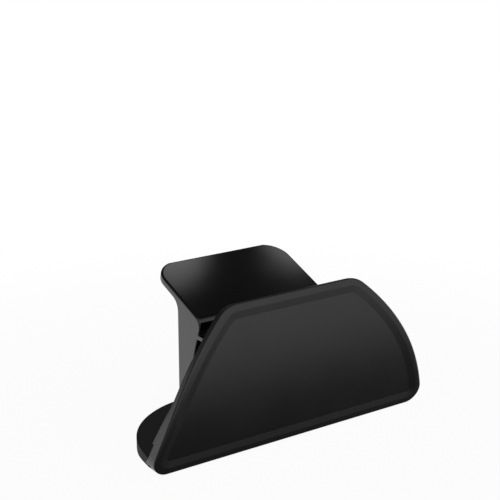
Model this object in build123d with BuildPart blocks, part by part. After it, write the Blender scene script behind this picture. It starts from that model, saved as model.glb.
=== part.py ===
"""Desk stand for a game controller: a bowed front panel with its base, and a cradle behind it.

The panel and the base are one moulding, the shell.  The cradle is the second one: a column
that stands on the base, a sloping rest on top, a nose, the floor of the trough and a leaf
that lies against the back of the panel.  Two screws from below hold the cradle, and four
rubber pads carry the stand.  Millimetres, +Z up, the panel faces -Y, and the origin is on
the surface the stand rests on, under the middle of its box.
"""
import os
from math import asin, cos, degrees, radians, sin, sqrt, tan

from build123d import *

# Overall
stand_depth = 56.3            # from the panel's most forward line to the rest's rear edge
pad_stand = 0.6               # how far the rubber pads hold the shell above the table
wall = 2.5                    # wall of both mouldings
edge_round = 0.8              # radius on the front edge of the panel and the edges of the cradle

# Front panel
panel_height = 56.4           # from the shell's underside to the panel's straight top edge
foot_half = 61.9              # half width where side and underside would meet in a corner
flank_height = 22.0           # height at which the flatter lower flank turns into the upper one
flank_draw = 7.5              # the flank has drawn in this far at that height
flank_lean = 14.6             # lean of the flank at the foot, degrees from upright
top_half = 28.0               # half width where the flank and the top edge would meet
foot_corner = 6.0             # corner radius at the foot
top_corner = 9.5              # corner radius at the top edge
bow_radius = 87.0             # radius of the forward bow, about an axis along X
bow_height = 27.0             # height of the most forward line
back_lean = 13.5              # below that line the back leaves the bow and leans out, degrees
back_bend = 15.0              # bend radius where it leaves the bow

# Recessed field on the panel
rim = 2.5                     # width of the raised rim
slope_width = 2.65            # width of the sloping band between the rim and the field
field_depth = 0.65            # depth of the field below the rim
field_corner = 1.2            # lower corner radius of the field

# Base
base_thickness = 4.0
base_depth = 44.7             # from the panel's foot line to the rear edge, in the plane of the underside
base_half = 58.2              # half width at its front end, less than the panel's foot
base_side_lean = 12.0         # how far the sides draw in towards the rear, degrees
base_corner = 38.3            # rear corner radius in plan
step_start = 4.2              # the foot gives way to the narrower base this far behind its line
step_fillet = 4.2             # hollow fillet between the two, in plan
heel_fillet = 5.2             # hollow fillet from the base up the back of the panel

# Cradle
cradle_half = 28.6            # half width of the column, the rest and the trough floor
rest_angle = 20.6             # slope of the rest, degrees above level
rest_top = 57.6               # height of the rest's rear edge above the shell's underside
rest_thickness = 3.0           # the plate that overhangs the column
rest_corner = 9.6             # radius of the rest's two rear corners
nose_radius = 3.7
nose_line = 17.6              # how far behind the foot line the nose's corner would be
nose_lean = 19.9              # the front of the column falls back below the nose, degrees
column_rear = 34.2            # rear face of the column behind the foot line
column_depth = 10.4           # depth of the column at its foot
column_sweep = 40.0           # radius between the leaning and the upright part of its front
overhang_fillet = 5.0         # fillet under the rest, behind the column
trough_floor = 39.3           # height of the trough's floor above the shell's underside
floor_wall = 1.5              # thickness of the trough's floor
leaf_inset = 1.4              # the leaf stays this far inside the panel's outline
leaf_bottom = 10.8            # height of the leaf's cut lower end
leaf_lean = 16.0              # the leaf leans out a little more than the back of the panel
leaf_wall = 2.0               # thickness of the leaf

# How the cradle is held
socket_depth = 1.0            # the column drops into the base by this much
fit_gap = 0.1                 # clearance of a locating fit, each side
screw_spacing = 34.0          # between the two screws
screw_shank = 2.9
screw_head = 5.4
screw_head_height = 1.4
screw_length = 11.0           # under the head
boss_width = 8.0              # solid block in the hollow column around each screw
boss_height = 15.0

# Rubber pads
pad_diameter = 9.0
pad_thickness = 1.6
pad_front_x = 44.0            # half the spacing of the front pads
pad_rear_x = 31.0             # half the spacing of the rear pads
pad_front = 9.0               # front pads behind the foot line
pad_rear = 31.0               # rear pads behind the foot line

# Places that follow from these sizes
underside = pad_stand
bow_sag = bow_radius - sqrt(bow_radius**2 - bow_height**2)
foot_y = -stand_depth / 2 + bow_sag
rest_y = stand_depth / 2
bow_axis_y = foot_y - bow_sag + bow_radius
bow_axis_z = underside + bow_height
panel_top = underside + panel_height
base_top = underside + base_thickness
floor_z = underside + trough_floor
rear_y = foot_y + column_rear
column_front = rear_y - column_depth
back_radius = bow_radius - wall
foot_z = base_top - socket_depth
head_seat = screw_head_height + 2 * fit_gap
screw_top = underside + head_seat + screw_length
middle_y = rear_y - column_depth / 2
screw_places = [(side * screw_spacing / 2, middle_y) for side in (-1, 1)]
pad_places = [(side * pad_front_x, foot_y + pad_front) for side in (-1, 1)]
pad_places += [(side * pad_rear_x, foot_y + pad_rear) for side in (-1, 1)]


def bow_y(radius, z):
    """Y of a surface of the bowed panel, given its radius, at the height z."""
    return bow_axis_y - sqrt(radius**2 - (z - bow_axis_z) ** 2)


def panel_outline(inset, foot_radius, top_radius):
    """The panel's outline drawn in by an inset, with the radii of its lower and upper corners."""
    with BuildSketch(Plane.XZ) as outline:
        with BuildLine():
            Line((-foot_half, underside), (foot_half, underside))
            tilt = radians(flank_lean)
            middle = (foot_half - flank_draw, underside + flank_height)
            lower = TangentArc((foot_half, underside), middle, tangent=(-sin(tilt), cos(tilt)))
            upper = TangentArc(lower @ 1, (top_half, panel_top), tangent=lower % 1)
            mirror(lower + upper, about=Plane.YZ)
            Line(upper @ 1, (-top_half, panel_top))
        make_face()
        if inset > 0:
            offset(amount=-inset, kind=Kind.INTERSECTION)
        if foot_radius > 0:
            fillet(outline.vertices().group_by(Axis.Y)[0], foot_radius)
        if top_radius > 0:
            fillet(outline.vertices().group_by(Axis.Y)[-1], top_radius)
    return outline.sketch


# Outer form: the base with its two large rear corners and the wider foot of the panel in front,
# seen from above, cut by the flanks and the rounded foot corners of the panel's outline.
step_y = foot_y + step_start
with BuildPart() as form:
    with BuildSketch(Plane.XY.offset(underside)) as plan:
        with BuildLine():
            rear_half = base_half - (base_depth - step_start) * tan(radians(base_side_lean))
            Polyline(
                (0, step_y - stand_depth),
                (foot_half, step_y - stand_depth),
                (foot_half, step_y),
                (base_half, step_y),
                (rear_half, foot_y + base_depth),
                (0, foot_y + base_depth),
            )
            mirror(about=Plane.YZ)
        make_face()
        fillet(plan.vertices().group_by(Axis.Y)[-1], base_corner)
        inner = [plan.vertices().sort_by_distance((side * base_half, step_y))[0] for side in (-1, 1)]
        fillet(inner, step_fillet)
    extrude(amount=panel_height)
    extrude(panel_outline(0, foot_corner, 0), amount=2 * stand_depth, both=True, mode=Mode.INTERSECT)
    top_fall = asin((panel_top - bow_axis_z) / bow_radius)
    with BuildSketch(Plane.YZ):
        with BuildLine():
            top_edge = Vector(bow_y(bow_radius, panel_top), panel_top)
            along = stand_depth * Vector(cos(top_fall), -sin(top_fall))
            Polyline(top_edge - along, top_edge + along, (stand_depth, 2 * panel_top), top_edge - along)
        make_face()
    extrude(amount=foot_half, both=True, mode=Mode.SUBTRACT)
    backward = form.edges().filter_by(lambda e: abs(e.tangent_at(0.5).Y) > 0.8)
    fillet(backward.filter_by(lambda e: e.center().Z > panel_top / 2), top_corner)

# Shell: the panel and the base in one moulding.
with BuildPart() as shell:
    with BuildSketch(Plane.YZ) as side_view:
        with BuildLine():
            front = ThreePointArc(
                (bow_y(bow_radius, underside), underside),
                (bow_y(bow_radius, bow_axis_z), bow_axis_z),
                (bow_y(bow_radius, panel_top + wall), panel_top + wall),
            )
            fall = degrees(asin((panel_top + wall - bow_axis_z) / bow_radius))
            back = CenterArc((bow_axis_y, bow_axis_z), back_radius, 180 - fall, fall)
            top = Line(front @ 1, back @ 0)
            turn = JernArc(back @ 1, (0, -1), back_bend, back_lean)
            drop = (turn @ 1).Y - base_top
            heel = Line(turn @ 1, turn @ 1 + Vector(drop * tan(radians(back_lean)), -drop))
            Polyline(heel @ 1, (foot_y + base_depth, base_top), (foot_y + base_depth, underside), front @ 0)
        make_face()
        fillet(side_view.vertices().sort_by_distance(heel @ 1)[0], heel_fillet)
    extrude(amount=foot_half, both=True)
    add(form.part, mode=Mode.INTERSECT)
    bowed = shell.faces().filter_by(GeomType.CYLINDER).sort_by(lambda f: f.area)[-2:]
    fillet(bowed.sort_by(Axis.Y)[0].edges(), edge_round)

    # The field: a pocket that follows the bow, then its rim is broken to a wide slope.
    field_radius = bow_radius - field_depth
    with BuildSketch(Plane.YZ) as field_view:
        with BuildLine():
            bed = ThreePointArc(
                (bow_y(field_radius, underside), underside),
                (bow_y(field_radius, bow_axis_z), bow_axis_z),
                (bow_y(field_radius, panel_top), panel_top),
            )
            Polyline(bed @ 1, (-stand_depth, panel_top), (-stand_depth, underside), bed @ 0)
        make_face()
    field_bar = extrude(amount=foot_half, both=True, mode=Mode.PRIVATE)
    field_outline = panel_outline(rim + slope_width, field_corner, top_corner - rim - slope_width)
    field_blank = extrude(field_outline, amount=stand_depth, both=True, mode=Mode.PRIVATE)
    add(field_bar & field_blank, mode=Mode.SUBTRACT)
    rim_face = shell.faces().filter_by(lambda f: len(f.inner_wires()) > 0).sort_by(Axis.Y)[0]
    chamfer(rim_face.inner_wires()[0].edges(), slope_width, field_depth * 0.98, reference=rim_face)

    # Socket for the column's foot in the upper face.
    with BuildSketch(Plane.XY.offset(base_top)):
        with Locations((0, middle_y)):
            Rectangle(2 * (cradle_half + fit_gap), column_depth + 2 * fit_gap)
    extrude(amount=-socket_depth, mode=Mode.SUBTRACT)

    # From below: counterbored holes for the two screws and round seats for the four pads.
    with BuildSketch(Plane.XY.offset(underside)):
        with Locations(*screw_places):
            Circle(screw_head / 2 + 2 * fit_gap)
    extrude(amount=head_seat, mode=Mode.SUBTRACT)
    with BuildSketch(Plane.XY.offset(underside)):
        with Locations(*screw_places):
            Circle(screw_shank / 2 + 2 * fit_gap)
    extrude(amount=base_thickness, mode=Mode.SUBTRACT)
    with BuildSketch(Plane.XY.offset(underside)):
        with Locations(*pad_places):
            Circle(pad_diameter / 2 + fit_gap)
    extrude(amount=pad_thickness - pad_stand, mode=Mode.SUBTRACT)
shell.part.label = "shell"

# Cradle.  Corners of its side view: rest top, nose, falling front, foot, rear, underside.
slope = radians(rest_angle)
rest_edge = (rest_y, underside + rest_top)
nose = (foot_y + nose_line, rest_edge[1] - (rest_y - foot_y - nose_line) * tan(slope))
bend = (column_front, nose[1] - (column_front - nose[0]) / tan(radians(nose_lean)))
under_edge = (rest_y, rest_edge[1] - rest_thickness / cos(slope))
under_corner = (rear_y, under_edge[1] - (rest_y - rear_y) * tan(slope))
with BuildPart() as cradle:
    with BuildSketch(Plane.YZ) as column_view:
        with BuildLine():
            foot_front, foot_rear = (column_front, foot_z), (rear_y, foot_z)
            Polyline(rest_edge, nose, bend, foot_front, foot_rear, under_corner, under_edge, close=True)
        make_face()
        fillet(column_view.vertices().sort_by_distance(nose)[0], nose_radius)
        fillet(column_view.vertices().sort_by_distance(bend)[0], column_sweep)
        fillet(column_view.vertices().sort_by_distance(under_corner)[0], overhang_fillet)
    extrude(amount=cradle_half, both=True)

    # The rest's two rear corners are rounded in the plane of the rest.
    rest_plane = Plane(origin=(0, *rest_edge), x_dir=(1, 0, 0), z_dir=(0, -sin(slope), cos(slope)))
    with BuildSketch(rest_plane):
        for side in (-1, 1):
            with Locations((side * (cradle_half - rest_corner / 2), -rest_corner / 2)):
                Rectangle(rest_corner, rest_corner)
            with Locations((side * (cradle_half - rest_corner), -rest_corner)):
                Circle(rest_corner, mode=Mode.SUBTRACT)
    extrude(amount=2 * rest_thickness, both=True, mode=Mode.SUBTRACT)
    across = cradle.edges().filter_by(Axis.X)
    through = cradle.edges().filter_by(Axis((0, 0, 0), rest_plane.z_dir))
    outline = cradle.edges().filter_by(lambda e: e.center().Z > foot_z) - across - through
    rounded = outline + across.group_by(Axis.Y)[-1]
    fillet(rounded, edge_round)

    # The trough's floor, from the back of the panel into the column.
    panel_back = back_radius - fit_gap
    with BuildSketch(Plane.YZ):
        with BuildLine():
            Polyline(
                (bow_y(panel_back, floor_z), floor_z),
                (column_front, floor_z),
                (column_front, floor_z - floor_wall),
                (bow_y(panel_back, floor_z) + leaf_wall / 2, floor_z - floor_wall),
                close=True,
            )
        make_face()
    extrude(amount=cradle_half, both=True)

    # The leaf: it follows the back of the panel down to the bow, then leans out with it.
    with BuildSketch(Plane.YZ) as leaf_view:
        with BuildLine():
            rise = degrees(asin((floor_z - bow_axis_z) / panel_back))
            along = CenterArc((bow_axis_y, bow_axis_z), panel_back, 180 - rise, rise)
            lean_out = JernArc(along @ 1, (0, -1), back_bend - fit_gap, leaf_lean)
            PolarLine(lean_out @ 1, trough_floor - leaf_bottom, leaf_lean - 90)
            offset(amount=leaf_wall, side=Side.LEFT)
        make_face()
    leaf_bar = extrude(amount=foot_half, both=True, mode=Mode.PRIVATE)
    with BuildSketch(Plane.XZ):
        add(panel_outline(leaf_inset, foot_corner, top_corner))
        with Locations((0, underside + (leaf_bottom + trough_floor) / 2)):
            Rectangle(2 * foot_half, trough_floor - leaf_bottom, mode=Mode.INTERSECT)
    leaf_blank = extrude(amount=stand_depth, both=True, mode=Mode.PRIVATE)
    add(leaf_bar & leaf_blank)

    # The column is hollow from below, with a solid block around each screw.
    with BuildSketch(Plane.YZ) as core_view:
        with BuildLine():
            rest_rear = (rear_y, rest_edge[1] - (rest_y - rear_y) * tan(slope))
            sunk = foot_z - wall
            Polyline(rest_rear, nose, bend, (column_front, sunk), (rear_y, sunk), close=True)
        make_face()
        offset(amount=-wall, kind=Kind.INTERSECTION)
        fillet(core_view.vertices().sort_by_distance(nose)[0], nose_radius - wall)
        fillet(core_view.vertices().sort_by_distance(bend)[0], column_sweep + wall)
    extrude(amount=cradle_half - wall, both=True, mode=Mode.SUBTRACT)
    with BuildSketch(Plane.XY.offset(foot_z)):
        with Locations(*screw_places):
            Rectangle(boss_width, column_depth - wall)
    extrude(amount=boss_height)
    with BuildSketch(Plane.XY.offset(foot_z)):
        with Locations(*screw_places):
            Circle(screw_shank / 2 + fit_gap)
    extrude(amount=screw_top + 1.0 - foot_z, mode=Mode.SUBTRACT)
cradle.part.label = "cradle"

# One screw, standing on its head: pan head with a cross recess, shank with a point.
with BuildPart() as screw:
    with BuildSketch(Plane.XZ) as screw_view:
        with BuildLine():
            Polyline(
                (0, underside + 2 * fit_gap),
                (screw_head / 2, underside + 2 * fit_gap),
                (screw_head / 2, underside + head_seat),
                (screw_shank / 2, underside + head_seat),
                (screw_shank / 2, screw_top - screw_shank),
                (0, screw_top),
                close=True,
            )
        make_face()
        chamfer(screw_view.vertices().sort_by(Axis.Y)[:2].sort_by(Axis.X)[-1], screw_head_height / 3)
    revolve(axis=Axis.Z)
    with BuildSketch(Plane.XY.offset(underside)):
        Rectangle(screw_head / 2, screw_head / 8)
        Rectangle(screw_head / 8, screw_head / 2)
    extrude(amount=2 * fit_gap + screw_head_height / 2, mode=Mode.SUBTRACT)
with BuildPart() as cradle_screws:
    with Locations(*[(x, y, 0) for x, y in screw_places]):
        add(screw.part)
cradle_screws.part.label = "cradle_screws"

# Rubber pads, with a bevelled lower edge.
with BuildPart() as foot_pads:
    with BuildSketch():
        with Locations(*pad_places):
            Circle(pad_diameter / 2)
    extrude(amount=pad_thickness)
    chamfer(foot_pads.edges().group_by(Axis.Z)[0], pad_stand / 2)
foot_pads.part.label = "foot_pads"

os.makedirs("parts", exist_ok=True)
export_step(shell.part, "parts/shell.step")
export_step(cradle.part, "parts/cradle.step")
export_step(cradle_screws.part, "parts/cradle_screws.step")
export_step(foot_pads.part, "parts/foot_pads.step")
for piece in (shell.part, cradle.part, cradle_screws.part, foot_pads.part):
    print(piece.label, len(piece.solids()), round(piece.volume, 1), piece.bounding_box())
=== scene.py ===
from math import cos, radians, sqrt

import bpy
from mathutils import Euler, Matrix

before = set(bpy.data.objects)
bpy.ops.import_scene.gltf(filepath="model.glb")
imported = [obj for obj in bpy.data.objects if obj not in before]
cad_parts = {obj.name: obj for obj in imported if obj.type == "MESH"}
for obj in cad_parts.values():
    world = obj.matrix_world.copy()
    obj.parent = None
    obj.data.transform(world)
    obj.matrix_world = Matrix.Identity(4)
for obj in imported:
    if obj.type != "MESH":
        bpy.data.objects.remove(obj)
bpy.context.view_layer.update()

# %% [markdown]
# A desk stand of two black mouldings: a bowed front panel that runs into a low base, and a
# cradle behind it with a sloping rest.  The solid model already has the right shapes, so the
# work here is on finishes and on light, and on the screws and pads that are seen from below.

# %% [markdown]
# The photograph looks down on the left front corner.  A camera is a point and a direction:
# this one stands about half a metre away, turned to the left of the panel and tilted down.
# A lens as long as the picture is wide sees 53 degrees, and this one is 2.5 times as long.

# %% Camera
picture_width = 500        # pixels
focal_pixels = 1253        # the lens, in pixels of that picture
sensor_width = 36.0        # mm
tilt_down = 16.84          # degrees
turn_left = 34.39

camera_data = bpy.data.cameras.new("camera")
camera_data.sensor_width = sensor_width
camera_data.lens = sensor_width * focal_pixels / picture_width
camera_data.clip_start = 0.01
camera = bpy.data.objects.new("camera", camera_data)
camera.location = (-0.25113, -0.36208, 0.19957)
camera.rotation_euler = Euler((radians(90 - tilt_down), 0, radians(-turn_left)))
bpy.context.collection.objects.link(camera)
bpy.context.scene.camera = camera
print("camera at", [round(c, 3) for c in camera.location], "lens", round(camera_data.lens, 1), "mm")

# %% [markdown]
# A few short helpers keep the node trees readable: an empty material, a node with its values,
# a sum or product of several outputs, and a value carried from one range to another.

# %% Node helpers
def shader(name):
    """A material with an empty node tree: returns the material, its nodes and its links."""
    material = bpy.data.materials.new(name)
    material.use_nodes = True
    tree = material.node_tree
    tree.nodes.clear()
    return material, tree.nodes, tree.links


def chain(nodes, links, operation, values):
    """Several outputs or plain numbers worked into one by an operation, two at a time from the first."""
    result = values[0]
    for value in values[1:]:
        step = nodes.new("ShaderNodeMath")
        step.operation = operation
        for socket, part in zip(step.inputs, (result, value)):
            if isinstance(part, (int, float)):
                socket.default_value = part
            else:
                links.new(part, socket)
        result = step.outputs[0]
    return result


def mapped(nodes, links, value, before, after, smooth=False):
    """A value carried from one range to another, straight or with an S-curve, and kept within it."""
    step = nodes.new("ShaderNodeMapRange")
    step.interpolation_type = "SMOOTHSTEP" if smooth else "LINEAR"
    step.inputs["From Min"].default_value, step.inputs["From Max"].default_value = before
    step.inputs["To Min"].default_value, step.inputs["To Max"].default_value = after
    links.new(value, step.inputs["Value"])
    return step.outputs["Result"]


print("helpers ready")

# %% [markdown]
# A cut-out picture has no floor to speak of.  The floor here is a pale sheet for the light that
# falls on the stand.  The lens sees it as white paper with a faint shadow that fades out further
# away.  A reflected ray goes through it, so that the gloss shows the round studio and not the
# sheet, and from below it is clear, so that the underside can be looked at.

# %% Floor
floor_half = 12.0              # metres
floor_tone = 0.6               # how pale the lit sheet is
paper_share = (0.95, 1.0)      # share of plain white the lens sees, under the stand and far away
paper_fade = (0.09, 0.26)      # metres from the middle between which the share grows

paper, nodes, links = shader("white_paper")
out = nodes.new("ShaderNodeOutputMaterial")
lit = nodes.new("ShaderNodeBsdfDiffuse")
lit.inputs["Color"].default_value = (floor_tone, floor_tone, floor_tone, 1)
white = nodes.new("ShaderNodeEmission")
white.inputs["Color"].default_value = (1, 1, 1, 1)
white.inputs["Strength"].default_value = 1.0
clear = nodes.new("ShaderNodeBsdfTransparent")
seen = nodes.new("ShaderNodeLightPath")
place = nodes.new("ShaderNodeTexCoord")
side = nodes.new("ShaderNodeNewGeometry")
away = nodes.new("ShaderNodeVectorMath")
away.operation = "LENGTH"
links.new(place.outputs["Object"], away.inputs[0])
share = mapped(nodes, links, away.outputs["Value"], paper_fade, paper_share, smooth=True)
by_lens = nodes.new("ShaderNodeMixShader")
links.new(chain(nodes, links, "MULTIPLY", [seen.outputs["Is Camera Ray"], share]), by_lens.inputs["Fac"])
links.new(lit.outputs[0], by_lens.inputs[1])
links.new(white.outputs[0], by_lens.inputs[2])
by_gloss = nodes.new("ShaderNodeMixShader")
passes = chain(nodes, links, "MAXIMUM", [seen.outputs["Is Glossy Ray"], side.outputs["Backfacing"]])
links.new(passes, by_gloss.inputs["Fac"])
links.new(by_lens.outputs[0], by_gloss.inputs[1])
links.new(clear.outputs[0], by_gloss.inputs[2])
links.new(by_gloss.outputs[0], out.inputs["Surface"])

floor_mesh = bpy.data.meshes.new("floor")
corners = [(-1, -1), (1, -1), (1, 1), (-1, 1)]
floor_mesh.from_pydata([(x * floor_half, y * floor_half, 0) for x, y in corners], [], [(0, 1, 2, 3)])
floor_mesh.materials.append(paper)
floor = bpy.data.objects.new("floor", floor_mesh)
bpy.context.collection.objects.link(floor)
print("floor", 2 * floor_half, "m wide")

# %% [markdown]
# Black plastic shows little of its own colour: what the eye reads is what it mirrors.  So the
# world is a dim room with round glows, each full in its middle and faded at its edge.  The panel
# shines from a broad one ahead, and darkens towards its foot.  The flanks shine from a low one
# behind on the left.  The glossy rest mirrors a dark stretch of ceiling between two small lamps.
# The others, on the left, on the right and behind, give the other sides their shape.

# %% World
room_level = 0.07
glows = {
    # the way to its middle, angle that is full, angle where it ends, strength
    "front_right": ((0.32, -0.85, 0.42), 14, 62, 1.35),
    "back_left": ((-0.74, 0.66, -0.20), 12, 44, 1.45),
    "rest_right": ((0.576, 0.400, 0.713), 0.4, 2.25, 2.1),
    "rest_left": ((0.487, 0.430, 0.760), 0.4, 2.25, 2.1),
    "overhead": ((-0.45, -0.30, 0.84), 5, 45, 1.1),
    "front_left": ((-0.62, -0.74, 0.14), 6, 36, 1.0),
    "right": ((0.98, -0.02, -0.20), 6, 33, 1.25),
    "behind": ((0.12, 0.83, -0.55), 8, 36, 1.1),
    "right_behind": ((0.62, 0.62, -0.48), 8, 34, 0.8),
    "rear_high": ((0.50, 0.82, 0.28), 6, 28, 0.03),
}

world = bpy.data.worlds.new("studio")
bpy.context.scene.world = world
world.use_nodes = True
nodes, links = world.node_tree.nodes, world.node_tree.links
nodes.clear()
way = nodes.new("ShaderNodeTexCoord").outputs["Generated"]


def glow(aim, full, end, strength):
    """A round glow on the sky.

    The cosine of the angle between a ray and the glow's aim is their dot product.  The glow
    rises with an S-curve from nothing at the cosine of its end angle to its strength at the
    cosine of its full angle.
    """
    size = sqrt(sum(c * c for c in aim))
    nearness = nodes.new("ShaderNodeVectorMath")
    nearness.operation = "DOT_PRODUCT"
    nearness.inputs[1].default_value = [c / size for c in aim]
    links.new(way, nearness.inputs[0])
    cosines = (cos(radians(end)), cos(radians(full)))
    return mapped(nodes, links, nearness.outputs["Value"], cosines, (0, strength), smooth=True)


room = nodes.new("ShaderNodeBackground")
room.inputs["Color"].default_value = (1, 1, 1, 1)
level = chain(nodes, links, "ADD", [room_level] + [glow(*values) for values in glows.values()])
links.new(level, room.inputs["Strength"])
bright = nodes.new("ShaderNodeBackground")
bright.inputs["Color"].default_value = (1, 1, 1, 1)
bright.inputs["Strength"].default_value = 1.0
seen = nodes.new("ShaderNodeLightPath")
mix = nodes.new("ShaderNodeMixShader")
out = nodes.new("ShaderNodeOutputWorld")
links.new(seen.outputs["Is Camera Ray"], mix.inputs["Fac"])
links.new(room.outputs[0], mix.inputs[1])
links.new(bright.outputs[0], mix.inputs[2])
links.new(mix.outputs[0], out.inputs["Surface"])
bpy.context.scene.view_settings.view_transform = "Standard"
print("world with", len(glows), "glows")

# %% [markdown]
# Each finish is built the same way.  Fine noise gives the grain of the mould, in the colour and
# in the bump.  Wide noise lets the roughness wander, as on any moulding that has been handled.
# Sharp edges catch the light as if they were rounded by a third of a millimetre.  The panel is
# satin and the cradle is glossy.  Each has a duller zone: the rim of the base, and the side of
# the leaf behind the panel.

# %% Finishes
noise_span = (0.3, 0.7)        # where most of the noise lies
grain_detail = 3.0             # octaves of the fine noise
handling = 60.0                # the wide noise, waves to the metre
handling_detail = 4.0          # octaves of the wide noise
edge_samples = 6               # rays that look for an edge
edge_round = 0.00035           # metres


def finish(name, colour, rough, grain, depth, shine=0.36, spread=0.12, wander=0.04, metal=0.0,
           dull=(), duller=0.0):
    """A material of one colour with a grain in it.

    The colour lies within its spread of the given one, and the roughness within its wander.
    Shine is the strength of the mirrored part, 0.5 for plain plastic and less for a grained mould.
    Grain and depth are the size and height of the bumps in metres.  Dull lists tests on the
    place, each an axis, a comparison and a limit in metres; where all of them hold, duller is
    added to the roughness.  Across the width the distance from the middle is what is tested.
    """
    material, nodes, links = shader(name)
    out = nodes.new("ShaderNodeOutputMaterial")
    skin = nodes.new("ShaderNodeBsdfPrincipled")
    skin.inputs["Metallic"].default_value = metal
    skin.inputs["Specular IOR Level"].default_value = shine
    place = nodes.new("ShaderNodeTexCoord").outputs["Object"]
    fine, wide = nodes.new("ShaderNodeTexNoise"), nodes.new("ShaderNodeTexNoise")
    fine.inputs["Scale"].default_value, fine.inputs["Detail"].default_value = 1 / grain, grain_detail
    wide.inputs["Scale"].default_value, wide.inputs["Detail"].default_value = handling, handling_detail
    links.new(place, fine.inputs["Vector"])
    links.new(place, wide.inputs["Vector"])

    tone = nodes.new("ShaderNodeValToRGB")
    for stop, position, share in zip(tone.color_ramp.elements, noise_span, (1 - spread, 1 + spread)):
        stop.position = position
        stop.color = (*[c * share for c in colour], 1)
    links.new(fine.outputs["Fac"], tone.inputs["Fac"])
    links.new(tone.outputs["Color"], skin.inputs["Base Color"])

    gloss = mapped(nodes, links, wide.outputs["Fac"], noise_span, (rough - wander, rough + wander))
    if dull:
        apart = nodes.new("ShaderNodeSeparateXYZ")
        links.new(place, apart.inputs["Vector"])
        width = nodes.new("ShaderNodeMath")
        width.operation = "ABSOLUTE"
        links.new(apart.outputs["X"], width.inputs[0])
        axes = {"X": width.outputs[0], "Y": apart.outputs["Y"], "Z": apart.outputs["Z"]}
        tests = [chain(nodes, links, comparison, [axes[axis], limit]) for axis, comparison, limit in dull]
        zone = chain(nodes, links, "MULTIPLY", tests + [duller])
        gloss = chain(nodes, links, "ADD", [gloss, zone])
    links.new(gloss, skin.inputs["Roughness"])

    edge = nodes.new("ShaderNodeBevel")
    edge.samples = edge_samples
    edge.inputs["Radius"].default_value = edge_round
    relief = nodes.new("ShaderNodeBump")
    relief.inputs["Strength"].default_value = 1.0
    relief.inputs["Distance"].default_value = depth
    links.new(fine.outputs["Fac"], relief.inputs["Height"])
    links.new(edge.outputs["Normal"], relief.inputs["Normal"])
    links.new(relief.outputs["Normal"], skin.inputs["Normal"])
    links.new(skin.outputs[0], out.inputs["Surface"])
    return material


base_rim = [("Z", "LESS_THAN", 0.0045), ("Y", "GREATER_THAN", -0.0215)]
leaf_side = [("X", "GREATER_THAN", 0.0292), ("Z", "LESS_THAN", 0.039)]
skins = {
    "shell": finish("black_satin_grain", (0.0065, 0.0065, 0.0068), rough=0.36, grain=0.00035,
                    depth=0.000003, dull=base_rim, duller=0.42),
    "cradle": finish("black_gloss", (0.0015, 0.0015, 0.0017), rough=0.07, grain=0.0005,
                     depth=0.0000002, wander=0.01, dull=leaf_side, duller=0.30),
    "foot_pads": finish("black_rubber", (0.05, 0.05, 0.052), rough=0.8, grain=0.0006, depth=0.00001),
    "cradle_screws": finish("zinc", (0.50, 0.51, 0.53), rough=0.34, grain=0.0012, depth=0.000004,
                            spread=0.3, wander=0.12, metal=1.0, shine=0.5),
}
print("finishes:", [skin.name for skin in skins.values()])

# %% [markdown]
# The solids keep their own meshes, and each only gets its finish.

# %% Dress the solids
for node, skin in skins.items():
    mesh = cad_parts[node].data
    mesh.materials.clear()
    mesh.materials.append(skin)
    print(node, "has", len(mesh.polygons), "faces in", skin.name)
